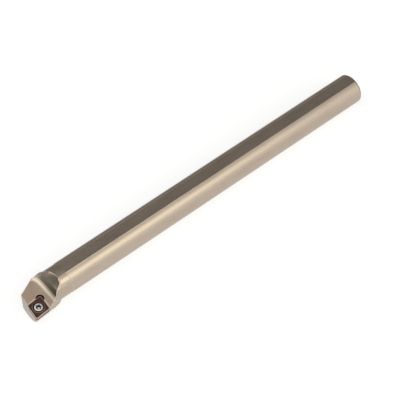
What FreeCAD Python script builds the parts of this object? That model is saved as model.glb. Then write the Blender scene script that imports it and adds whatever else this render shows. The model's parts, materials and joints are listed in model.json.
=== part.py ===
import FreeCAD, Part
import math
import os
import re
import sys
import Sketcher

# Indexable boring bar for a lathe: a steel bar whose head carries one 80 degree diamond insert,
# held by a countersunk six-lobe screw. Millimetres and degrees throughout.
# Frame: X runs along the shank axis from the rear face (x = 0) to the cutting tip, Y points to
# the side that cuts, Z is up, square to the flats. The cutting tip lies at the axis height z = 0.

SIZES = [
    # Shank: round bar with two flats for the clamping screws of its holder.
    ("overall_length", 254.0),          # rear face to cutting tip
    ("shank_diameter", 19.05),
    ("across_flats", 17.5),
    ("rear_chamfer", 1.0),
    ("flat_cutter_diameter", 60.0),     # disc cutter that leaves the run-out of the lower flat
    ("flat_runout_start", 28.6),        # tip back to where that cutter lifts off
    # Neck: slightly thinner and lower than the shank, up to the front.
    ("neck_length", 27.7),              # tip back to the step behind the neck
    ("neck_diameter", 18.7),
    ("neck_drop", 0.08),                # neck axis below the shank axis
    ("step_chamfer", 0.15),
    # Head: a larger round, shifted and turned to the cutting side.
    ("head_diameter", 21.0),
    ("head_shift", 2.0),                # head centre beside the shank axis, at the tip
    ("head_skew", 4.0),                 # head axis turned to the cutting side
    ("head_length", 18.5),
    ("head_lead", 2.5),                 # cone from the neck up to the head
    ("side_ramp_start", 15.3),          # tip back to where the side ramp leaves the neck
    ("side_ramp_angle", 25.0),
    ("tip_offset", 12.7),               # shank axis to cutting tip
    ("rake_angle", 9.5),                # rake face leans down towards the cutting side
    ("lead_angle", 5.0),                # front edge of the insert off square to the axis
    ("front_setback", 0.4),             # front face of the head behind the edge of the insert
    ("bevel_angle", 24.8),              # bevel on the far side of the head
    ("bevel_corner", 4.0),              # bevel starts this far past the axis on the front face
    # Gullet: chip space milled by a cutter that enters from the cutting side.
    ("gullet_floor_length", 13.6),      # tip back to the end of the flat rake face
    ("gullet_floor_radius", 3.2),
    ("gullet_wall_angle", 59.0),
    ("gullet_ramp_angle", 35.0),
    ("gullet_ramp_height", 3.4),        # rake face up to where wall and ramp would meet
    ("gullet_blend_radius", 2.0),
    ("gullet_cutter_diameter", 12.2),
    ("gullet_cutter_reach", 16.6),      # tip across to where the cutter turns to the front
    # Seat of the insert.
    ("seat_start_height", 2.0),         # the seat's cutter starts this far above the rake face
    ("seat_edge_break", 0.35),
    ("relief_diameter", 5.0),           # round relief behind the inner corner of the insert
    ("relief_setback", 1.9),
    ("relief_depth", 0.3),              # relief below the floor of the seat
    # Insert: 80 degree diamond with flanks that lean in.
    ("insert_circle", 9.525),           # circle that fits between its edges
    ("insert_thickness", 3.97),
    ("insert_corner_angle", 80.0),
    ("insert_clearance", 7.0),
    ("nose_radius", 0.8),
    ("insert_bore", 4.4),
    ("sink_diameter", 6.0),             # wide end of the countersink
    ("sink_angle", 60.0),               # angle between its opposite sides
    ("land_width", 0.3),                # flat land along the cutting edges
    ("breaker_depth", 0.25),
    ("breaker_slope", 45.0),
    ("island_diameter", 7.1),           # raised ring that the chip breaker leaves round the hole
    # Clamp screw with a six-lobe recess.
    ("screw_diameter", 3.5),
    ("screw_length", 8.9),
    ("screw_head_diameter", 5.3),
    ("screw_rim_height", 0.6),
    ("screw_rim_chamfer", 0.25),
    ("screw_end_chamfer", 0.4),
    ("screw_clearance", 0.03),
    ("recess_points", 3.27),            # across opposite points of the recess
    ("recess_valleys", 2.35),           # across its opposite valleys
    ("recess_point_radius", 0.27),
    ("recess_depth", 1.5),
]

# A margin by which cutting shapes stand clear of the solid that they cut.
CLEAR = "head_diameter"

doc = FreeCAD.newDocument("boring_bar")
sheet = doc.addObject("Spreadsheet::Sheet", "Sizes")
for row, (size_name, size) in enumerate(SIZES, start=1):
    sheet.set("A%d" % row, str(size))
    sheet.setAlias("A%d" % row, size_name)
doc.recompute()

SIZE_NAMES = re.compile(r"\b(%s)\b" % "|".join(name for name, _ in SIZES))


def bound(formula):
    """The formula with each size name pointing into the sheet."""
    return SIZE_NAMES.sub(r"Sizes.\1", formula)


def value(formula):
    return float(sheet.evalExpression(bound(formula)))


def add_body(name, place=None):
    body = doc.addObject("PartDesign::Body", name)
    body.Label = name
    if place:
        body.setExpression("Placement", bound(place))
    return body


def add_sketch(body, name, role, offset="placement(vector(0; 0; 0); rotation(vector(0; 0; 1); 0))"):
    sketch = body.newObject("Sketcher::SketchObject", name)
    plane = next(item for item in body.Origin.OriginFeatures if item.Role == role)
    sketch.AttachmentSupport = [(plane, "")]
    sketch.MapMode = "FlatFace"
    sketch.setExpression("AttachmentOffset", bound(offset))
    return sketch


def pin_point(sketch, geometry, point, across, along):
    """Hold one point of the sketch at two formulas."""
    for kind, formula in (("DistanceX", across), ("DistanceY", along)):
        pin = Sketcher.Constraint(kind, -1, 1, geometry, point, value(formula))
        index = sketch.addConstraint(pin)
        sketch.setExpression("Constraints[%d]" % index, bound(formula))


def draw_circle(sketch, across, along, radius):
    middle = FreeCAD.Vector(value(across), value(along), 0)
    shape = Part.Circle(middle, FreeCAD.Vector(0, 0, 1), value(radius))
    geometry = sketch.addGeometry(shape, False)
    pin_point(sketch, geometry, 3, across, along)
    index = sketch.addConstraint(Sketcher.Constraint("Radius", geometry, value(radius)))
    sketch.setExpression("Constraints[%d]" % index, bound(radius))


def draw_outline(sketch, corners, bends=None):
    """A closed outline. bends maps an edge to (radius, turn): turn is 1 anticlockwise, else -1."""
    bends = bends or {}
    points = [FreeCAD.Vector(value(across), value(along), 0) for across, along in corners]
    edges = []
    starts = []
    for index, start in enumerate(points):
        end = points[(index + 1) % len(points)]
        if index not in bends:
            edges.append(sketch.addGeometry(Part.LineSegment(start, end), False))
            starts.append((1, 2))
            continue
        radius, turn = bends[index]
        half = (end - start) * 0.5
        rise = math.sqrt(max(value(radius) ** 2 - half.Length ** 2, 0.0))
        side = FreeCAD.Vector(-half.y, half.x, 0) * (turn / half.Length)
        centre = start + half + side * rise
        first, last = (start, end) if turn > 0 else (end, start)
        angles = [math.atan2(p.y - centre.y, p.x - centre.x) for p in (first, last)]
        circle = Part.Circle(centre, FreeCAD.Vector(0, 0, 1), value(radius))
        edges.append(sketch.addGeometry(Part.ArcOfCircle(circle, angles[0], angles[1]), False))
        starts.append((1, 2) if turn > 0 else (2, 1))
    for index, edge in enumerate(edges):
        following = (index + 1) % len(edges)
        joint = Sketcher.Constraint("Coincident", edge, starts[index][1],
                                    edges[following], starts[following][0])
        sketch.addConstraint(joint)
    for index, (across, along) in enumerate(corners):
        pin_point(sketch, edges[index], starts[index][0], across, along)
    for index, (radius, _) in bends.items():
        held = sketch.addConstraint(Sketcher.Constraint("Radius", edges[index], value(radius)))
        sketch.setExpression("Constraints[%d]" % held, bound(radius))


def volume_after(body):
    doc.recompute()
    return body.Tip.Shape.Volume


def add_feature(body, kind, name, sketch, length=None, taper=None, reverse=False):
    """A pad or a pocket; without a length it goes all the way through."""
    before = volume_after(body) if body.Tip else 0.0
    feature = body.newObject("PartDesign::" + kind, name)
    feature.Profile = sketch
    feature.Reversed = reverse
    if length:
        feature.Type = "Length"
        feature.setExpression("Length", bound(length))
    else:
        feature.Type = "ThroughAll"
    if taper:
        feature.setExpression("TaperAngle", bound(taper))
    after = volume_after(body)
    gained = after > before
    if gained != (kind == "Pad") or abs(after - before) < 1e-6:
        sys.exit("%s changed nothing or the wrong way: %.4f to %.4f" % (name, before, after))
    return feature


def add_turned(body, kind, name, sketch, axis, angle=360.0, reverse=False):
    """A revolution or a groove about an axis of its sketch."""
    before = volume_after(body) if body.Tip else 0.0
    feature = body.newObject("PartDesign::" + kind, name)
    feature.Profile = sketch
    feature.ReferenceAxis = (sketch, [axis])
    feature.Angle = angle
    feature.Reversed = reverse
    after = volume_after(body)
    gained = after > before
    if gained != (kind == "Revolution") or abs(after - before) < 1e-6:
        sys.exit("%s changed nothing or the wrong way: %.4f to %.4f" % (name, before, after))
    return feature


def add_loft(body, kind, name, profile, sections):
    """A straight-sided solid through outlines, added to the body or cut out of it."""
    before = volume_after(body) if body.Tip else 0.0
    feature = body.newObject("PartDesign::" + kind, name)
    feature.Profile = profile
    feature.Sections = sections
    feature.Ruled = True
    after = volume_after(body)
    gained = after > before
    if gained != (kind == "AdditiveLoft") or abs(after - before) < 1e-6:
        sys.exit("%s changed nothing or the wrong way: %.4f to %.4f" % (name, before, after))
    return feature


# Rake frame: X along the bar, second axis across the rake face towards the tip, third out of it.
# Its origin lies beside the shank's rear end, on the line through the cutting tip.
RAKE = "placement(vector(0; tip_offset; 0); rotation(vector(1; 0; 0); -rake_angle))"
# The same frame as seen from the upright XZ plane, whose own third axis points to minus Y.
RAKE_UPRIGHT = "placement(vector(0; 0; -tip_offset); rotation(vector(1; 0; 0); -rake_angle))"

# Insert frame: origin at the middle of the top face, X along the long diagonal to the tip.
DIAGONAL = "(90 - lead_angle - insert_corner_angle / 2)"
HALF_ACUTE = "(insert_corner_angle / 2)"
HALF_OBTUSE = "(90 - insert_corner_angle / 2)"
NOSE_TO_MIDDLE = f"((insert_circle / 2 - nose_radius) / sin({HALF_ACUTE}))"
MIDDLE_X = f"(overall_length - nose_radius - {NOSE_TO_MIDDLE} * cos({DIAGONAL}))"
MIDDLE_ACROSS = f"(-nose_radius - {NOSE_TO_MIDDLE} * sin({DIAGONAL}))"
SEAT = (f"{RAKE} * placement(vector({MIDDLE_X}; {MIDDLE_ACROSS}; 0); "
        f"rotation(vector(0; 0; 1); {DIAGONAL}))")


def level(height):
    """A sketch placed parallel to its plane, this far along the plane's normal."""
    return f"placement(vector(0; 0; {height}); rotation(vector(0; 0; 1); 0))"


def diamond(inset, radius):
    """Corners and bends of the insert's outline, drawn in by inset, with rounded corners."""
    corners = []
    bends = {}
    for direction, half in ((0, HALF_ACUTE), (90, HALF_OBTUSE), (180, HALF_ACUTE), (270, HALF_OBTUSE)):
        reach = f"((insert_circle / 2 - {inset} - {radius}) / sin({half}))"
        for swing in (f"({direction} - 90 + {half})", f"({direction} + 90 - {half})"):
            corners.append((f"{reach} * cos({direction}) + {radius} * cos({swing})",
                            f"{reach} * sin({direction}) + {radius} * sin({swing})"))
        bends[len(corners) - 2] = (radius, 1)
    return corners, bends


def seat_outline(growth):
    """The open seat: a diamond from the insert's inner corner, well past the front and the side."""
    corner = f"(-(insert_circle / 2 + {growth}) / sin({HALF_ACUTE}))"
    run = "(2 * insert_circle / sin(insert_corner_angle))"
    ahead = f"{run} * cos({HALF_ACUTE})"
    aside = f"{run} * sin({HALF_ACUTE})"
    return [(corner, "0"), (f"{corner} + {ahead}", f"-{aside}"),
            (f"{corner} + 2 * {ahead}", "0"), (f"{corner} + {ahead}", aside)]


def add_head_blank(bar):
    """Round head on its own skewed axis, with a cone that runs into the neck."""
    place = "placement(vector(overall_length; head_shift; 0); rotation(vector(0; 0; 1); head_skew))"
    profile = add_sketch(bar, "head_profile", "XY_Plane", place)
    head, neck = "(head_diameter / 2)", "(neck_diameter / 2)"
    buried_x = "-head_length - 2 * head_lead"
    draw_outline(profile, [(buried_x, "0"), ("head_lead", "0"), ("head_lead", head),
                           ("-head_length", head), (buried_x, f"2 * {neck} - {head}")])
    add_turned(bar, "Revolution", "head_blank", profile, "H_Axis")

    # Vertical ramp on the cutting side, from the neck out to the full width of the head.
    along, across = "cos(side_ramp_angle)", "sin(side_ramp_angle)"
    start_x, start_y = "(overall_length - side_ramp_start)", "(neck_diameter / 2)"
    back_x = f"{start_x} - {CLEAR} * {along}"
    front_x = f"{start_x} + {CLEAR} * {along}"
    outer_y = f"{start_y} + {CLEAR} * {across}"
    ramp = add_sketch(bar, "side_ramp_sketch", "XY_Plane", level(CLEAR))
    draw_outline(ramp, [(back_x, f"{start_y} - {CLEAR} * {across}"), (front_x, outer_y),
                        (back_x, outer_y)])
    add_feature(bar, "Pocket", "side_ramp", ramp)


def add_neck_and_shank(bar):
    neck = add_sketch(bar, "neck_sketch", "YZ_Plane", level("overall_length - neck_length"))
    draw_circle(neck, "0", "-neck_drop", "neck_diameter / 2")
    add_feature(bar, "Pad", "neck", neck, "neck_length")

    step_x, radius = "(overall_length - neck_length)", "shank_diameter / 2"
    shank = add_sketch(bar, "shank_sketch", "XZ_Plane")
    draw_outline(shank, [("0", "0"), (step_x, "0"), (step_x, f"{radius} - step_chamfer"),
                         (f"{step_x} - step_chamfer", radius), ("rear_chamfer", radius),
                         ("0", f"{radius} - rear_chamfer")])
    add_turned(bar, "Revolution", "shank", shank, "H_Axis")


def cut_flats(bar):
    half = "(across_flats / 2)"
    margin = "rear_chamfer"
    upper = add_sketch(bar, "upper_flat_sketch", "XZ_Plane", level(CLEAR))
    upper_end = "overall_length - gullet_floor_length"
    draw_outline(upper, [(f"-{margin}", half), (upper_end, half), (upper_end, CLEAR),
                         (f"-{margin}", CLEAR)])
    add_feature(bar, "Pocket", "upper_flat", upper)

    # The lower flat ends in the curve of the disc cutter that milled it.
    lift = "((shank_diameter - across_flats) / 2 + neck_drop)"
    disc = "(flat_cutter_diameter / 2)"
    start_x = "overall_length - flat_runout_start"
    end_x = f"{start_x} + sqrt(flat_cutter_diameter * {lift} - {lift} * {lift})"
    lower = add_sketch(bar, "lower_flat_sketch", "XZ_Plane", level(CLEAR))
    draw_outline(lower, [(f"-{margin}", f"-{CLEAR}"), (end_x, f"-{CLEAR}"),
                         (end_x, f"-{half} - {lift}"), (start_x, f"-{half}"),
                         (f"-{margin}", f"-{half}")], {2: (disc, 1)})
    add_feature(bar, "Pocket", "lower_flat", lower)


def gullet_profile(front_x):
    """Side view of the gullet from the cutter's axis: floor, radius, steep wall, blend and ramp."""
    floor_x = "(-gullet_cutter_diameter / 2)"
    radius_x = f"({floor_x} - gullet_floor_radius * sin(gullet_wall_angle))"
    radius_top = "(gullet_floor_radius * (1 - cos(gullet_wall_angle)))"
    knee_x = f"({radius_x} - (gullet_ramp_height - {radius_top}) / tan(gullet_wall_angle))"
    blend = "(gullet_blend_radius * tan((gullet_wall_angle - gullet_ramp_angle) / 2))"
    top_x = f"{knee_x} - ({CLEAR} - gullet_ramp_height) / tan(gullet_ramp_angle)"
    corners = [(front_x, "0"), (front_x, CLEAR), (top_x, CLEAR),
               (f"{knee_x} - {blend} * cos(gullet_ramp_angle)",
                f"gullet_ramp_height + {blend} * sin(gullet_ramp_angle)"),
               (f"{knee_x} + {blend} * cos(gullet_wall_angle)",
                f"gullet_ramp_height - {blend} * sin(gullet_wall_angle)"),
               (radius_x, radius_top), (floor_x, "0")]
    return corners, {3: ("gullet_blend_radius", -1), 5: ("gullet_floor_radius", 1)}


def cut_gullet(bar):
    axis_x = "(overall_length - gullet_floor_length + gullet_cutter_diameter / 2)"
    place = (f"{RAKE_UPRIGHT} * placement(vector({axis_x}; 0; gullet_cutter_reach); "
             "rotation(vector(0; 0; 1); 0))")
    straight = add_sketch(bar, "gullet_sketch", "XZ_Plane", place)
    draw_outline(straight, *gullet_profile(f"overall_length - {axis_x} + {CLEAR}"))
    add_feature(bar, "Pocket", "gullet", straight)
    turn = add_sketch(bar, "gullet_turn_sketch", "XZ_Plane", place)
    draw_outline(turn, *gullet_profile("0"))
    add_turned(bar, "Groove", "gullet_turn", turn, "V_Axis", 180.0)


def cut_front(bar):
    """Front face parallel to the insert's front edge, and the bevel on the far side."""
    edge_x = "(overall_length - front_setback)"
    inner_x = f"{edge_x} - (tip_offset + {CLEAR}) * tan(lead_angle)"
    outer_x = f"{edge_x} + ({CLEAR} - tip_offset) * tan(lead_angle)"
    ahead_x = f"overall_length + {CLEAR}"
    face = add_sketch(bar, "front_face_sketch", "XY_Plane", level(CLEAR))
    draw_outline(face, [(inner_x, f"-{CLEAR}"), (ahead_x, f"-{CLEAR}"), (ahead_x, CLEAR),
                        (outer_x, CLEAR)])
    add_feature(bar, "Pocket", "front_face", face)

    corner_x = f"({edge_x} - (tip_offset + bevel_corner) * tan(lead_angle))"
    back_x = f"{corner_x} - {CLEAR} * cos(bevel_angle)"
    front_x = f"{corner_x} + bevel_corner * cos(bevel_angle)"
    outer_y = f"-bevel_corner - {CLEAR} * sin(bevel_angle)"
    bevel = add_sketch(bar, "bevel_sketch", "XY_Plane", level(CLEAR))
    draw_outline(bevel, [(back_x, outer_y), (front_x, outer_y),
                         (front_x, "-bevel_corner + bevel_corner * sin(bevel_angle)")])
    add_feature(bar, "Pocket", "far_bevel", bevel)


def seat_level(bar, name, height, growth):
    """The seat's outline at one height above the rake face."""
    sketch = add_sketch(bar, name, "XY_Plane", f"{SEAT} * {level(height)}")
    draw_outline(sketch, seat_outline(growth))
    return sketch


def cut_seat(bar):
    # Both cuts start above the rake face, where their leaning walls stand further out.
    start, floor = "seat_start_height", "(-insert_thickness)"
    edge_top = seat_level(bar, "seat_edge_top", start, f"(seat_edge_break + {start})")
    edge_end = seat_level(bar, "seat_edge_end", "(-2 * seat_edge_break)", "(-seat_edge_break)")
    add_loft(bar, "SubtractiveLoft", "seat_edge", edge_top, [edge_end])

    seat_top = seat_level(bar, "seat_top", start, f"({start} * tan(insert_clearance))")
    seat_floor = seat_level(bar, "seat_floor", floor, f"({floor} * tan(insert_clearance))")
    add_loft(bar, "SubtractiveLoft", "seat", seat_top, [seat_floor])

    relief = add_sketch(bar, "relief_sketch", "XY_Plane", SEAT)
    inner_corner = f"(-insert_circle / 2 / sin({HALF_ACUTE}))"
    draw_circle(relief, f"{inner_corner} + relief_setback", "0", "relief_diameter / 2")
    add_feature(bar, "Pocket", "corner_relief", relief, "insert_thickness + relief_depth")

    hole = add_sketch(bar, "screw_hole_sketch", "XY_Plane", SEAT)
    draw_circle(hole, "0", "0", "screw_diameter / 2 + screw_clearance")
    add_feature(bar, "Pocket", "screw_hole", hole)


def build_bar():
    bar = add_body("bar")
    add_head_blank(bar)
    add_neck_and_shank(bar)
    cut_flats(bar)
    cut_gullet(bar)
    cut_front(bar)
    cut_seat(bar)
    return bar


def build_insert():
    insert = add_body("insert", SEAT)
    plan = add_sketch(insert, "insert_plan", "XY_Plane")
    draw_outline(plan, *diamond("0", "nose_radius"))
    add_feature(insert, "Pad", "diamond", plan, "insert_thickness", "-insert_clearance", reverse=True)

    # Moulded chip breaker: a trough between the edge land and the ring round the hole.
    trough = add_sketch(insert, "breaker_sketch", "XY_Plane")
    draw_outline(trough, *diamond("land_width", "(nose_radius - land_width)"))
    draw_circle(trough, "0", "0", "island_diameter / 2")
    add_feature(insert, "Pocket", "chip_breaker", trough, "breaker_depth", "-breaker_slope")

    bore = add_sketch(insert, "insert_bore_sketch", "XY_Plane")
    draw_circle(bore, "0", "0", "insert_bore / 2")
    add_feature(insert, "Pocket", "insert_hole", bore)

    sink = add_sketch(insert, "sink_sketch", "XZ_Plane")
    sink_depth = "(sink_diameter - insert_bore) / 2 / tan(sink_angle / 2)"
    draw_outline(sink, [("0", "0"), ("0", f"-{sink_depth}"), ("insert_bore / 2", f"-{sink_depth}"),
                        ("sink_diameter / 2", "0")])
    add_turned(insert, "Groove", "countersink", sink, "V_Axis")
    return insert


def six_lobe_outline():
    """Twelve tangent arcs: round points outwards, and between them valleys that bulge inwards."""
    point_centre = "(recess_points / 2 - recess_point_radius)"
    valley = "(recess_valleys / 2)"
    valley_radius = (f"(({point_centre} * {point_centre} + {valley} * {valley}"
                     " - recess_point_radius * recess_point_radius"
                     f" - 2 * {point_centre} * {valley} * cos(30))"
                     f" / (2 * ({point_centre} * cos(30) + recess_point_radius - {valley})))")
    share = f"(recess_point_radius / (recess_point_radius + {valley_radius}))"
    valley_centre = f"({valley} + {valley_radius})"
    corners = []
    bends = {}
    for lobe in range(6):
        middle = 60 * lobe
        for side in (middle - 30, middle + 30):
            corners.append(tuple(
                f"{point_centre} * (1 - {share}) * {turn}({middle}) + {valley_centre} * {share} * {turn}({side})"
                for turn in ("cos", "sin")))
        bends[2 * lobe] = ("recess_point_radius", 1)
        bends[2 * lobe + 1] = (valley_radius, -1)
    return corners, bends


def build_screw():
    screw = add_body("clamp_screw", SEAT)
    half_sink = "(sink_angle / 2)"
    head, stem = "(screw_head_diameter / 2)", "(screw_diameter / 2)"
    cone_top = (f"(screw_clearance / sin({half_sink})"
                f" - (sink_diameter / 2 - {head}) / tan({half_sink}))")
    cone_end = f"({cone_top} - ({head} - {stem}) / tan({half_sink}))"
    top = f"({cone_top} + screw_rim_height)"
    tail = f"({top} - screw_length)"
    profile = add_sketch(screw, "screw_profile", "XZ_Plane")
    draw_outline(profile, [("0", top), ("0", tail), (f"{stem} - screw_end_chamfer", tail),
                           (stem, f"{tail} + screw_end_chamfer"), (stem, cone_end),
                           (head, cone_top), (head, f"{top} - screw_rim_chamfer"),
                           (f"{head} - screw_rim_chamfer", top)])
    add_turned(screw, "Revolution", "screw_blank", profile, "V_Axis")

    recess = add_sketch(screw, "recess_sketch", "XY_Plane", level(top))
    draw_outline(recess, *six_lobe_outline())
    add_feature(screw, "Pocket", "six_lobe_recess", recess, "recess_depth")
    return screw


pieces = [build_bar(), build_insert(), build_screw()]
doc.recompute()

for item in doc.Objects:
    if "Invalid" in item.State or "Error" in item.State:
        sys.exit("%s did not build: %s" % (item.Label, item.State))
for piece in pieces:
    if piece.Shape.isNull() or not piece.Shape.isValid():
        sys.exit("%s has no valid shape" % piece.Label)

os.makedirs("parts", exist_ok=True)
for piece in pieces:
    piece.Shape.exportStep("parts/%s.step" % piece.Label)
    box = piece.Shape.BoundBox
    print("%s: %d solid, %.1f mm3, x %.2f..%.2f, y %.2f..%.2f, z %.2f..%.2f"
          % (piece.Label, len(piece.Shape.Solids), piece.Shape.Volume,
             box.XMin, box.XMax, box.YMin, box.YMax, box.ZMin, box.ZMax))
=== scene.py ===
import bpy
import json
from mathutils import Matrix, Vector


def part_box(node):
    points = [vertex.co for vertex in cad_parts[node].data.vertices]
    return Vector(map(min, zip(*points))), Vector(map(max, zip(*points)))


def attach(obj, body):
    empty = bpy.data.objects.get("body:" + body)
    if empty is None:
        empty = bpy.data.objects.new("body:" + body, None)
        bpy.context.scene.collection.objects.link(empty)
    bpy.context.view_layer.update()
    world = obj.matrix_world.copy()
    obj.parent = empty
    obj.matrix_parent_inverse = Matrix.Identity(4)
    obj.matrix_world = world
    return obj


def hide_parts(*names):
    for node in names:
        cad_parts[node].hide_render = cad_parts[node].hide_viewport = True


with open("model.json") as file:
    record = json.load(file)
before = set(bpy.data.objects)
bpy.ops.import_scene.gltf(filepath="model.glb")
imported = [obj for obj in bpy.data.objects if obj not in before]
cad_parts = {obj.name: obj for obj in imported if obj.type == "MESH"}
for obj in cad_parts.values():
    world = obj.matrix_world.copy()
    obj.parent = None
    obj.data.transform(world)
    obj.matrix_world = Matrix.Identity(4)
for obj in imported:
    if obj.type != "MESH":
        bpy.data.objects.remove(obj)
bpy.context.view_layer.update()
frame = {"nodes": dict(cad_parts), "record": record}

# %% [markdown]
# # An indexable boring bar
# A boring bar turns the inside of a hole on a lathe. Its steel shank ends in a head with a seat,
# and a small screw holds a diamond-shaped insert in that seat. The insert does the cutting and is
# turned round or thrown away when its corner is worn.
# Everything below is in the frame of the construction: X runs along the shank to the cutting tip,
# Y points to the side that cuts, Z is up. Blender works in metres, and most sizes here are written
# in millimetres and multiplied by `MM`.

# %% What the script needs, and what the frame holds
import json
import math

import bmesh
import bpy
from mathutils import Matrix, Vector
from mathutils.bvhtree import BVHTree

MM = 0.001
mounts = {mount["name"]: mount for mount in frame["record"]["mounts"]}

# %% [markdown]
# ## Camera
# The camera stands above the cutting side and looks down the bar, so the shank runs away to the
# upper right. Its place and its three axes are written as plain numbers, which is surer than a
# target to look at. A long lens keeps the perspective weak, as in a product photograph.

# %% Camera
FRAME_PIXELS = 416
SHIFT_PIXELS = (-0.3, 0.3)
SENSOR_WIDTH, LENS = 36, 122.574
CAMERA_PLACE = Vector((474.826, 416.279, 634.379))
RIGHT = Vector((-0.7553575, 0.6552875, -0.0057820))
DOWN = Vector((0.5065854, 0.5783044, -0.6394804))
AHEAD = Vector((-0.4156998, -0.4859654, -0.7687856))

camera_data = bpy.data.cameras.new("camera")
camera_data.sensor_fit = "HORIZONTAL"
camera_data.sensor_width = SENSOR_WIDTH
camera_data.lens = LENS
camera_data.shift_x = SHIFT_PIXELS[0] / FRAME_PIXELS
camera_data.shift_y = SHIFT_PIXELS[1] / FRAME_PIXELS
camera = bpy.data.objects.new("camera", camera_data)
bpy.context.scene.collection.objects.link(camera)
turn = Matrix((RIGHT, -DOWN, -AHEAD)).transposed().to_4x4()
camera.matrix_world = Matrix.Translation(CAMERA_PLACE * MM) @ turn
bpy.context.scene.camera = camera
print("camera stands", round(camera.location.length, 3), "m from the rear face")

# %% [markdown]
# ## How colours reach the picture
# Blender can bend bright colours the way film does. For a part that is compared with a product
# photograph, the plain "Standard" transform is better: a colour then renders about as it is written.

# %% Colour transform
bpy.context.scene.view_settings.view_transform = "Standard"
print("view transform:", bpy.context.scene.view_settings.view_transform)

# %% [markdown]
# ## Floor
# The bar isn't held by anything. It rests on the rear end of its lower flat and on the round bottom
# of its head, which stands a little lower. The floor is the plane through both, so it leans by less
# than half a degree in the frame of the bar. Its lean is measured and not guessed: of all points in
# front of `FRONT_START`, the one that stands lowest as seen from the rear end sets it.

# %% Floor
FLOOR_REACH = 3.0
FLOOR_GAP = 0.02 * MM
FRONT_START = 0.1

rear_height = mounts["lower_flat"]["pos_m"][2]
lean = max(math.atan2(rear_height - vert.co.z, vert.co.x)
           for vert in frame["nodes"]["bar"].data.vertices if vert.co.x > FRONT_START)
floor_mesh = bpy.data.meshes.new("floor")
floor_mesh.from_pydata([(x * FLOOR_REACH, y * FLOOR_REACH,
                         rear_height - x * FLOOR_REACH * math.tan(lean) - FLOOR_GAP)
                        for x, y in ((-1, -1), (1, -1), (1, 1), (-1, 1))], [], [(0, 1, 2, 3)])
floor = bpy.data.objects.new("floor", floor_mesh)
bpy.context.scene.collection.objects.link(floor)
print("floor leans", round(math.degrees(lean), 2), "degrees")

# %% [markdown]
# ## A small kit for shader maths
# Node trees are easier to read as sums. The first class below wraps a socket, so that
# `1 - mask * 0.5` adds its Math nodes by itself, and one method of the second adds any other node.

# %% Shader kit
class Value:
    """A socket of a node tree that can be added, multiplied and so on."""

    def __init__(self, tree, socket):
        self.tree, self.socket = tree, socket

    def maths(self, operation, *others):
        numbers = dict(enumerate((self,) + others))
        return Shader(self.tree).node("ShaderNodeMath", {"operation": operation}, numbers)

    def flipped(self, operation, other):
        return Shader(self.tree).node("ShaderNodeMath", {"operation": operation}, {0: other, 1: self})

    def __add__(self, other): return self.maths("ADD", other)
    def __radd__(self, other): return self.flipped("ADD", other)
    def __sub__(self, other): return self.maths("SUBTRACT", other)
    def __rsub__(self, other): return self.flipped("SUBTRACT", other)
    def __mul__(self, other): return self.maths("MULTIPLY", other)
    def __rmul__(self, other): return self.flipped("MULTIPLY", other)
    def __truediv__(self, other): return self.maths("DIVIDE", other)
    def __rtruediv__(self, other): return self.flipped("DIVIDE", other)


class Shader:
    """Adds nodes to one tree."""

    def __init__(self, tree):
        self.tree = tree

    def node(self, kind, settings=None, inputs=None, output=0):
        """A node of this kind: its settings first, then its sockets. Gives one of its outputs."""
        made = self.tree.nodes.new(kind)
        for name, setting in (settings or {}).items():
            setattr(made, name, setting)
        for key, given in (inputs or {}).items():
            socket = made.inputs[key]
            if isinstance(given, Value):
                self.tree.links.new(given.socket, socket)
            elif isinstance(given, tuple) and len(given) == 3 and socket.type == "RGBA":
                socket.default_value = (*given, 1)
            else:
                socket.default_value = given
        return Value(self.tree, made.outputs[output])

    def finish(self, kind, surface):
        """Ends the tree in an output node of this kind."""
        self.tree.links.new(surface.socket, self.tree.nodes.new(kind).inputs["Surface"])


print("shader kit: sockets that add, subtract, multiply and divide")

# %% [markdown]
# ## Helpers for materials
# Every material here starts empty, mixes a few colours and needs soft masks. A colour goes through
# a Mix node, because a Math node would turn it grey.

# %% Material helpers
def new_material(name):
    material = bpy.data.materials.new(name)
    material.use_nodes = True
    material.node_tree.nodes.clear()
    return material, Shader(material.node_tree)


def mix_colours(shader, share, first, second):
    """Index 6 and 7 are the colour inputs of a Mix node, and output 2 is its colour."""
    return shader.node("ShaderNodeMix", {"data_type": "RGBA"}, {0: share, 6: first, 7: second}, 2)


def mask(shader, value, low, high):
    """0 at low, 1 at high, and smooth between them."""
    return shader.node("ShaderNodeMapRange", {"interpolation_type": "SMOOTHSTEP"},
                       {0: value, 1: low, 2: high, 3: 0.0, 4: 1.0})


def object_coordinates(shader, marks_per_mm=None):
    """Object coordinates in metres, or stretched to this many marks a millimetre on each axis."""
    place = shader.node("ShaderNodeTexCoord", None, None, "Object")
    if marks_per_mm is None:
        return place
    return shader.node("ShaderNodeMapping", None,
                       {"Vector": place, "Scale": tuple(marks / MM for marks in marks_per_mm)})


def noise(shader, marks_per_mm, detail=3.0, roughness=0.6):
    return shader.node("ShaderNodeTexNoise", None,
                       {"Vector": object_coordinates(shader, marks_per_mm), "Scale": 1.0,
                        "Detail": detail, "Roughness": roughness})


print("helpers: new material, colour mix, soft mask, coordinates, noise")

# %% [markdown]
# ## White paper
# Product photographs stand on paper that is lit until it is nearly white. Here the paper itself is
# an ordinary pale surface, which keeps the soft shadow of the bar, and most of its white comes from
# the colour that camera rays see. Far off it is all white, so that the paper ends without a line.
# Reflections in the steel see it too: bright on the near side, and dim behind the bar, which is
# painted shade in what the steel reflects.

# %% Floor material
PAPER, WHITE = (0.92, 0.92, 0.92), (1.0, 1.0, 1.0)
BEHIND_BAR, BESIDE_BAR = -0.10, 0.02
FAR_START, FAR_END = 0.5, 1.5
NEAR_GLOW, FAR_GLOW = 1.65, 1.0
NEAR_SHARE, FAR_SHARE, REFLECTED_SHARE = 0.42, 1.0, 0.85
SHADED_REFLECTION, NEAR_REFLECTION = 0.08, 0.74

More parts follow.
